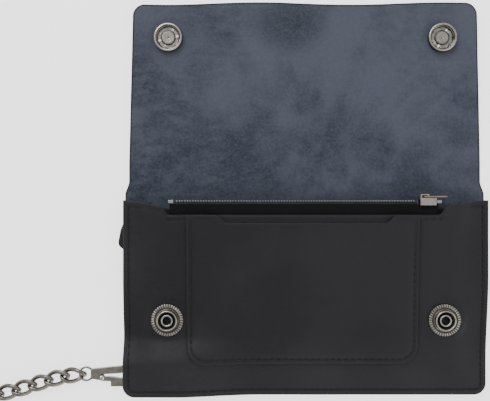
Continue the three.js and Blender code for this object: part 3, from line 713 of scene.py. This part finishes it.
run = zipRight - zipLeft - 2 * zipper["stop"] - 4 - zipper["slider"]
for name, low in (("front", frontTape(0.0, coilBottom) - zipper["tape"] - 0.1),
                  ("rear", rearTape(0.0, coilBottom) - 0.4)):
    turns = run / zipper["pitch"]
    t = np.linspace(0, turns, int(turns * 14))
    ry, rz = zipper["coilHeight"] / 2 - zipper["wire"], zipper["coilDepth"] / 2 - zipper["wire"]
    middle = (coilBottom + zipTop) / 2, low + zipper["coilDepth"] / 2
    around = np.stack([np.zeros_like(t), np.cos(2 * np.pi * t), np.sin(2 * np.pi * t)], 1)
    path = np.stack([zipLeft + zipper["stop"] + 2 + zipper["wire"] + (run - 2 * zipper["wire"]) * t / turns,
                     middle[0] + ry * around[:, 1], middle[1] + rz * around[:, 2]], 1)
    # A painted highlight on the side of each loop that faces out and up.
    paintedHighlight = np.clip(around[:, 1] * 0.6 + around[:, 2] * 0.8, 0, 1) ** 4
    paintedHighlight = {"paintedHighlight": np.repeat(paintedHighlight, zipper["sides"])}
    coil = wirePiece("zipTeeth" + name.capitalize(), path, around, zipper["wire"], zipper["sides"],
                     nylonPaint, "wallet_body", paintedHighlight)
    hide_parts("zip_coil_" + name)
print("zip made")

# Back panel, spine and flap are one leather: two pieces that meet in the middle of the spine.
flap = {"length": 67.5, "root": 149.1, "end": 145.0, "corner": 5.0, "tilt": math.asin(2.0 / 52.8),
        "ripple": 0.5, "cell": 0.8}
spineMiddle = creaseOne + body["spine"] / 2
skins = [leatherPaint, edgePaint, suedePaint]


def rootHalf(y):  # half the width from the body up to the flap's root
    along = (y - creaseOne) / body["spine"]
    return halfWidth + (flap["root"] / 2 - halfWidth) * step(along, -0.1, 0.4)


u = stations(2 * halfWidth, 0.9) * 2 - 1
y = stations(spineMiddle, 0.9, True, False)[:, None] * spineMiddle
half = rootHalf(y)
x = u[None, :] * half
bottom = dropAt(half - np.abs(x), body["corner"])
y = bottom + (spineMiddle - bottom) * (y / spineMiddle)
edge = outlineDistance(x, y, half, 0, 1e6, body["corner"])
low = lift(x, y)
crease = 0.06 * np.exp(-((y - creaseOne) / 2.4) ** 2)
high = low + body["backLeather"] - crease - seamDip(edge, front["seam"]) * (y < body["height"])
high = high + wave(x, y, 0.04) * (1 - step(y, creaseOne - 8, creaseOne + 2))
under = low + seamDip(edge, front["seam"], 0.2) * (y < body["height"])
# The back's seam line also gets painted shade from its depth.
back = leatherSheet("backLeather", x, y, under, high, edge, None, skins, over=2, cutAt=spineMiddle,
                    grooveShade=seamDip(edge, front["seam"], 1.0) * (y < body["height"]))
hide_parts("back_panel", "flap_spine")
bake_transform(back)
seam = seamPath(halfWidth, 0, body["height"] - 1.2, body["height"] - 1.2, body["corner"], front["seam"])
stitches("backSeam", seam, lambda x, y: lift(x, y) + 0.38, "wallet_body", thread, -1)


# The flap rises from the second crease at its resting tilt: z = tan(tilt) * ramp(y), over a soft start.
def flapRise(y):
    far = y - creaseTwo
    ramp = np.where(far < -2, 0, np.where(far > 2, far, (far + 2) ** 2 / 8))
    return math.tan(flap["tilt"]) * ramp


def flapEnd(x):
    return creaseTwo + flap["length"] - 0.15 + flap["ripple"] * np.cos(2 * np.pi * (x + 19.8) / 80.8)


u = stations(flap["root"], flap["cell"]) * 2 - 1
v = stations(flap["length"] + body["spine"] / 2, flap["cell"], False, True)[:, None]
x = u[None, :] * flap["root"] / 2 + 0 * v
bottom = spineMiddle
top = flapEnd(x) - dropAt(flap["root"] / 2 - np.abs(x), flap["corner"])
y = bottom + (top - bottom) * v
narrow = 1 + (flap["end"] / flap["root"] - 1) * np.clip((y - creaseTwo) / flap["length"], 0, 1)
across, down = flap["root"] / 2 - np.abs(x), flapEnd(x) - y
corner = (across < flap["corner"]) & (down < flap["corner"])
arc = flap["corner"] - np.hypot(flap["corner"] - across, flap["corner"] - down)
edge = np.maximum(np.where(corner, arc, np.minimum(across, down)), 0)
x = x * narrow
waves = wave(x, y, 0.10) * step(y, creaseTwo, creaseTwo + 12)
presses = np.zeros_like(x)
socketAt = [np.array([(lo.x + hi.x) / 2, (lo.y + hi.y) / 2, lo.z]) / mm - origin for lo, hi in
            (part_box("snap_socket_" + s) for s in ("left", "right"))]
flat = np.ones_like(x)
for centre in socketAt:  # the sockets sit on flat leather, in a shallow press
    away = np.hypot(x - centre[0], y - centre[1])
    flat *= step(away, 6.6, 11)
    presses += 0.12 * np.exp(-((away - 7.0) / 0.7) ** 2)
faint = np.hypot(x - 56.8, y - (creaseTwo + 42.5))  # a faint round mark left by a stud
presses += 0.05 * np.exp(-((faint - 3.4) / 0.5) ** 2) + 0.03 * (1 - step(faint, 2.6, 3.6))
crease = 0.06 * np.exp(-((y - creaseTwo) / 2.4) ** 2)
low = flapRise(y) + waves * flat
high = low + body["backLeather"] - presses - crease
flapPiece = leatherSheet("flapLeather", x, y, low, high, edge, None, skins, over=2, cutAt=spineMiddle)
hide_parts("flap")
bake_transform(flapPiece)
print("back and flap made")


# Turned parts: a closed profile of (radius, height) goes round the axis, x = r cos a and y = r sin a. Its
# corners are cut off twice to round them, ripple(r, z, a) lowers or raises the surface, and shadeRings is a
# list of (radius, how much painted shade).
def turned(name, profile, centre, rider, nodes, shadeRings, segments=96, ripple=None, tilt=0.0, cuts=2):
    loop = np.array(profile, float)
    for _ in range(cuts):
        after = np.roll(loop, -1, 0)
        loop = np.stack([loop * 0.78 + after * 0.22, loop * 0.22 + after * 0.78], 1).reshape(-1, 2)
    longest = 0.3
    after = np.roll(loop, -1, 0)
    pieces = [np.linspace(a, b, max(1, int(np.hypot(*(b - a)) / longest)), endpoint=False) for a, b in
              zip(loop, after)]
    loop = np.concatenate(pieces)
    angle = np.linspace(0, 2 * np.pi, segments + 1)[:-1]
    r, z, a = loop[:, 0][:, None], loop[:, 1][:, None], angle[None, :]
    if ripple:
        z = z + ripple(r, z, a)
    r, a, z = np.broadcast_arrays(r, a, z)
    # Painted shade by radius, from the table of rings.
    paintedShade = np.interp(r, *zip(*shadeRings)) * (z > -0.05)
    if ripple is knurl:  # painted shade is deeper in the grooves between the knurls
        grooveShade = 0.5 - 0.5 * np.cos(snap["grooves"] * a + math.pi)
        paintedShade = paintedShade + 0.7 * grooveShade * step(r, 5.2, 5.6) * (z > 0.4)
    dx, dy = r * np.cos(a), r * np.sin(a)
    dz = z + dy * math.sin(tilt)
    points = np.stack([centre[0] + dx, centre[1] + dy, centre[2] + dz], -1).reshape(-1, 3)
    rings = len(loop)
    i, j = np.meshgrid(np.arange(rings), np.arange(segments), indexing="ij")
    n, m = (i + 1) % rings, (j + 1) % segments
    corners = [i * segments + j, n * segments + j, n * segments + m, i * segments + m]
    faces = np.stack(corners, -1).reshape(-1, 4)
    paintedShade = {"paintedShade": np.clip(paintedShade, 0, 1).ravel()}
    made = makeMesh(name, points, faces, [nickelPaint], None, rider, paintedShade)
    outward(made)
    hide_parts(*nodes)
    return made


snap = {"flange": 6.8, "ring": 4.3, "height": 2.85, "post": 1.9, "grooves": 38, "petals": 7}


# How much painted shade each part gets by its distance from the axis: (radius, share); grooves and hollows go
# dark and the raised rings stay bright.
paintedRingShade = {
    "stud": [(2.4, 0.7), (2.9, 0.6), (3.05, 0.1), (3.25, 0.6), (3.6, 0.5), (3.9, 0.0), (4.5, 0.0), (4.7, 0.5),
             (4.95, 0.9), (5.3, 0.8), (5.5, 0.0), (6.5, 0.0), (6.8, 0.6)],
    "eyelet": [(1.4, 1.0), (1.6, 0.9), (1.9, 0.1), (2.35, 0.0), (2.5, 0.6), (2.7, 1.0)],
    "cap": [(0.0, 0.1), (2.4, 0.0), (2.9, 0.8), (3.2, 1.0)],
    "socket": [(2.2, 0.8), (2.7, 0.5), (3.2, 0.1), (4.3, 0.15), (4.6, 0.9), (5.0, 0.7), (5.2, 0.0),
               (5.75, 0.0), (6.0, 0.8), (6.2, 1.0)]}


def knurl(r, z, a):  # a cosine wave round the rim of the flange
    band = step(r, 5.0, 5.4) * (1 - step(r, 6.55, 6.8)) * (z > 0.4)
    return -0.2 * band * (0.5 + 0.5 * np.cos(snap["grooves"] * a))


def petals(r, z, a):  # seven raised humps round the bottom of the socket
    band = step(r, 2.6, 3.2) * (1 - step(r, 4.2, 4.7)) * (z > 0.2) * (z < 0.9)
    return 0.26 * band * np.clip(np.cos(snap["petals"] * a), 0, 1) ** 0.7


for side, name in ((0, "left"), (1, "right")):
    level = float(frontTop(np.array(snapPlaces[side]), studY)) + body["gap"]
    centre = (snapPlaces[side], studY, level)
    hole, s = snap["post"] + 0.5, snap
    stud = [(hole, 0), (s["flange"] - 0.15, 0), (s["flange"], 0.3), (s["flange"] - 0.2, 0.66), (5.3, 0.8),
            (5.0, 0.62), (s["ring"] + 0.35, 0.62), (s["ring"], 1.1), (s["ring"] - 0.12, 1.7),
            (s["ring"], 2.3),
            (s["ring"] - 0.1, s["height"] - 0.1), (s["ring"] - 0.55, s["height"]), (s["ring"] - 0.95, 2.3),
            (3.0, 1.45), (hole, 1.15)]
    turned("snapStud" + name.capitalize(), stud, centre, "wallet_body", ["snap_stud_" + name],
           paintedRingShade["stud"], 152, knurl)
    bore = s["post"] - 0.4
    eyelet = [(bore, -2.5), (4.5, -2.5), (4.5, -2.12), (s["post"], -2.1), (s["post"], 1.6), (2.2, 1.68),
              (2.5, 1.78), (2.62, 2.0), (2.4, 2.28), (2.0, 2.3), (bore + 0.05, 2.0)]
    turned("snapEyelet" + name.capitalize(), eyelet, centre, "wallet_body", ["snap_eyelet_" + name],
           paintedRingShade["eyelet"], 72)
    centre = socketAt[side]
    centre = (centre[0], centre[1], body["backLeather"] + flapRise(centre[1]) + body["gap"])
    socket = [(2.2, 0), (5.9, 0), (6.1, 0.35), (6.1, 2.0), (5.85, 2.5), (5.35, 2.6), (4.95, 2.5), (4.72, 2.1),
              (5.3, 1.9), (5.35, 1.2), (4.75, 1.0), (4.55, 0.42), (3.8, 0.42), (3.0, 0.42), (2.5, 0.36)]
    turned("snapSocket" + name.capitalize(), socket, centre, "flap", ["snap_socket_" + name],
           paintedRingShade["socket"], 112, petals, flap["tilt"])
    leather = -body["backLeather"] - 2 * body["gap"]
    cap = [(0.01, leather - 1.6), (1.8, leather - 1.56), (3.6, leather - 1.42), (5.2, leather - 1.08),
           (6.3, leather - 0.6), (6.8, leather - 0.25), (6.6, leather), (4.5, leather), (s["post"], leather),
           (s["post"], 0.55), (2.2, 0.7), (3.1, 0.72), (3.15, 0.85), (2.6, 1.0), (1.2, 0.95), (0.01, 0.9)]
    turned("snapCap" + name.capitalize(), cap, centre, "flap", ["snap_cap_" + name], paintedRingShade["cap"], 96, None,
           flap["tilt"], 1)
print("snaps made")

# Chain. A curb link is the closed curve (a cos t, b sin t (1 - cos 2t / 5), c sin 2t), filed a little flat.
chain = {"pitch": 7.2, "half": 4.9, "side": 2.2, "twist": 1.3, "wire": 0.9,
         "headings": [6, 14, 17, 17, 13, 6],
         "rest": 36, "lead": 33.0, "coil": 36.0, "spacing": 7.6, "inwardTurn": 12.0, "inwardAngle": 120.0,
         "eyeToLink": 1.95, "eyeRoll": 10.0, "tail": 16.2, "eyeY": 8.6, "rise": 1.5, "thick": 2.0}
chainHeight = chain["twist"] + chain["wire"]
eyeHeight = chain["rise"] + chain["thick"] / 2
eye = np.array([-halfWidth - chain["tail"], chain["eyeY"]])


def linkShape(samples=40, sides=10):
    t = np.linspace(0, 2 * np.pi, samples + 1)[:-1]
    path = np.stack([chain["half"] * np.cos(t), chain["side"] * np.sin(t) * (1 - 0.2 * np.cos(2 * t)),
                     chain["twist"] * np.sin(2 * t)], 1)
    out = np.stack([np.cos(t), np.sin(t), 0 * t], 1)
    points, faces = wire(path, out, chain["wire"], sides, True)
    # Painted shade on the sides of the wire, darker still on its inner side, so the top and bottom of each
    # link stay bright.
    aside = 1 - np.abs(points[:, 2] - np.repeat(path[:, 2], sides)) / chain["wire"]
    inner = np.hypot(points[:, 0], points[:, 1]) < np.repeat(np.hypot(path[:, 0], path[:, 1]), sides)
    paintedShade = step(aside, 0.25, 0.75) * np.where(inner, 1.0, 0.55)
    soft = chainHeight - 0.28
    over = np.abs(points[:, 2]) - soft
    points[:, 2] = np.sign(points[:, 2]) * np.where(over > 0, soft + over * 0.3, np.abs(points[:, 2]))
    return points, faces[:, ::-1], paintedShade


def placed(points, x, y, z, heading, roll=0.0):  # turned about its own length, then about the upright
    c, s = math.cos(roll), math.sin(roll)
    p = np.stack([points[:, 0], points[:, 1] * c - points[:, 2] * s, points[:, 1] * s + points[:, 2] * c], 1)
    c, s = math.cos(heading), math.sin(heading)
    return np.stack([x + p[:, 0] * c - p[:, 1] * s, y + p[:, 0] * s + p[:, 1] * c, z + p[:, 2]], 1)


first = math.radians(chain["headings"][0])
pivot = eye - chain["eyeToLink"] * np.array([math.cos(first), math.sin(first)])
linkPoints, linkFaces, linkShade = linkShape(56, 14)
for i, degrees in enumerate(chain["headings"]):
    heading = math.radians(degrees)
    following = pivot - chain["pitch"] * np.array([math.cos(heading), math.sin(heading)])
    middle = (pivot + following) / 2
    roll = math.radians(chain["eyeRoll"]) if i == 0 else 0.0
    points = placed(linkPoints, *middle, eyeHeight if i == 0 else chainHeight, heading, roll)
    link = makeMesh(f"chainLink{i + 1}", points, linkFaces, [chainPaint], None, f"link_{i + 1}",
                    {"paintedShade": linkShade})
    outward(link)
    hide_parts(f"chain_link_{i + 1}")
    pivot = following

# The rest of the chain: straight on, then one turn inwards to the belt clasp in the middle.
stepLength = 0.5
length = chain["rest"] * chain["pitch"]
heading, radius, route = math.pi, chain["coil"], [pivot.copy()]
for i in range(round(length / stepLength) + (1 if length % stepLength > 1e-6 else 0)):
    s = i * stepLength
    last = length - s < chain["inwardTurn"] * math.radians(chain["inwardAngle"])
    bend = chain["inwardTurn"] if last else radius
    if s > chain["lead"]:
        heading -= stepLength / bend
        radius -= chain["spacing"] * stepLength / (2 * math.pi * radius)
    route.append(route[-1] + stepLength * np.array([math.cos(heading), math.sin(heading)]))
route = np.array(route)
along = np.arange(len(route)) * stepLength
small, smallFaces, smallShade = linkShape(36, 8)
pieces, faces = [], []
for i in range(chain["rest"]):
    span = np.array([i, i + 1]) * chain["pitch"]
    ends = np.stack([np.interp(span, along, route[:, axis]) for axis in (0, 1)], 1)
    middle, direction = (ends[0] + ends[1]) / 2, ends[0] - ends[1]
    turn = math.atan2(direction[1], direction[0])
    final = i == chain["rest"] - 1
    raised = eyeHeight if final else chainHeight
    roll = math.radians(-chain["eyeRoll"]) if final else 0.0
    pieces.append(placed(small, *middle, raised, turn, roll))
    faces.append(smallFaces + i * len(small))
paintedShade = {"paintedShade": np.tile(smallShade, chain["rest"])}
coiled = makeMesh("chainCoiled", np.concatenate(pieces), np.concatenate(faces), [chainPaint], None,
                  "chain_rest", paintedShade)
outward(coiled)
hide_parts("chain_lead", "chain_coil")
path = [place(p[0], p[1], chainHeight) for p in route[::6]] + [place(*route[-1], chainHeight)]
print("chain made")


# Cast and pressed metal keeps its CAD shape: it is remeshed fine and smoothed, and its edges are worn round.
def worn(node, material, voxel=0.13, passes=6):
    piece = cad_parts[node]
    piece.data.materials.clear()
    piece.data.materials.append(material)
    remesh = piece.modifiers.new("cast", "REMESH")
    remesh.mode, remesh.voxel_size, remesh.use_smooth_shade = "VOXEL", voxel * mm, True
    smooth = piece.modifiers.new("worn", "SMOOTH")
    smooth.factor, smooth.iterations = 0.5, passes


for prefix in ("clasp", "belt_clasp"):
    worn(prefix + "_body", chainPaint)
    worn(prefix + "_gate", chainPaint)
    worn(prefix + "_pin", nickelPaint, 0.08)
    worn(prefix + "_spring", nickelPaint, 0.06, 3)
for node in ("zip_slider", "zip_top_stop_front", "zip_top_stop_rear", "zip_bottom_stop"):
    worn(node, nickelPaint, 0.08, 5)
worn("zip_pull", brassPaint, 0.07, 4)
for side in ("left", "right"):
    worn("snap_spring_" + side, nickelPaint, 0.08, 3)

# The chain tab: a strap folded round the clasp's nose, drawn in the X-Z plane and carried across its width.
tabLow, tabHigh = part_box("chain_tab")
tab = {"fold": 2.15, "tunnel": 1.8, "length": 16.0, "thick": 1.6, "trim": 0.6}
noseX = tabLow.x / mm - origin[0] + tab["fold"]
noseZ = eyeHeight
tabY = (tabLow.y + tabHigh.y) / 2 / mm - origin[1]
tabWidth = (tabHigh.y - tabLow.y) / mm - tab["trim"]
sewn = float(lift(np.array(noseX + tab["length"]), chain["eyeY"])) - 0.4
angle = np.linspace(np.pi / 2, 3 * np.pi / 2, 22)
outside = np.concatenate([
    np.stack([np.linspace(tab["length"], 0, 24)[:-1], np.linspace(sewn - noseZ, tab["fold"], 24)[:-1]], 1),
    np.stack([tab["fold"] * np.cos(angle), tab["fold"] * np.sin(angle)], 1),
    np.stack([np.linspace(0, 5, 9)[1:], np.linspace(-tab["fold"], -0.4, 9)[1:]], 1)])
inner = np.concatenate([
    np.stack([np.linspace(tab["length"], 2.4, 24)[:-1],
              np.linspace(sewn - noseZ - tab["thick"], 0.5, 24)[:-1]], 1),
    np.stack([tab["tunnel"] * np.cos(np.linspace(0.35, 2 * np.pi - 0.35, 22)),
              tab["tunnel"] * np.sin(np.linspace(0.35, 2 * np.pi - 0.35, 22))], 1),
    np.stack([np.linspace(1.8, 5, 9)[1:], np.linspace(-0.7, -0.45, 9)[1:]], 1)])


def strap(u, v, w):
    t = v * (len(outside) - 1)
    at = np.arange(len(outside))
    x = (np.interp(t, at, outside[:, 0]) * w + np.interp(t, at, inner[:, 0]) * (1 - w))
    z = (np.interp(t, at, outside[:, 1]) * w + np.interp(t, at, inner[:, 1]) * (1 - w))
    return noseX + x, tabY + (u - 0.5) * tabWidth, noseZ + z


wall("chainTabLeather", strap, 14, 110, leatherPaint, "tab", ["chain_tab"])
print("tab and clasps made")

# Floor and light: a pale lit floor, one large soft lamp and a weak one from the other side.
light = {"main": 2.6, "fill": 1.0, "sky": 0.6, "glow": 1.8, "floorDrop": -0.0002}
floorMesh = bpy.data.meshes.new("floor")
under = light["floorDrop"]
floorCorners = [(-9, -9, under), (9, -9, under), (9, 9, under), (-9, 9, under)]
floorMesh.from_pydata(floorCorners, [], [(0, 1, 2, 3)])
floor = bpy.data.objects.new("floor", floorMesh)
bpy.context.scene.collection.objects.link(floor)
floorPaint = Paint("palePaper")
shade = floorPaint.noise(90, 2).between(0.2, 0.8)
floorMesh.materials.append(floorPaint.finish(
    Base_Color=floorPaint.blend(shade, (0.83, 0.83, 0.83, 1), (0.86, 0.86, 0.86, 1)), Roughness=0.85,
    Emission_Color=(1, 1, 1, 1), Emission_Strength=light["glow"]))  # a table lit from below
world = bpy.data.worlds.new("studio")
bpy.context.scene.world = world
world.use_nodes = True
world.node_tree.nodes["Background"].inputs[0].default_value = (1, 1, 1, 1)
world.node_tree.nodes["Background"].inputs[1].default_value = light["sky"]


def lamp(name, at, towards, size, power):
    data = bpy.data.lights.new(name, "AREA")
    data.size, data.energy = size, power
    made = bpy.data.objects.new(name, data)
    bpy.context.scene.collection.objects.link(made)
    made.location = at
    made.rotation_mode = "QUATERNION"
    made.rotation_quaternion = (mathutils.Vector(towards) - mathutils.Vector(at)).to_track_quat("-Z", "Y")
    return made


lamp("mainLamp", (-0.25, 0.45, 0.6), (0, 0, 0), 0.45, light["main"])
lamp("fillLamp", (0.5, -0.35, 0.6), (0, 0, 0), 0.6, light["fill"])
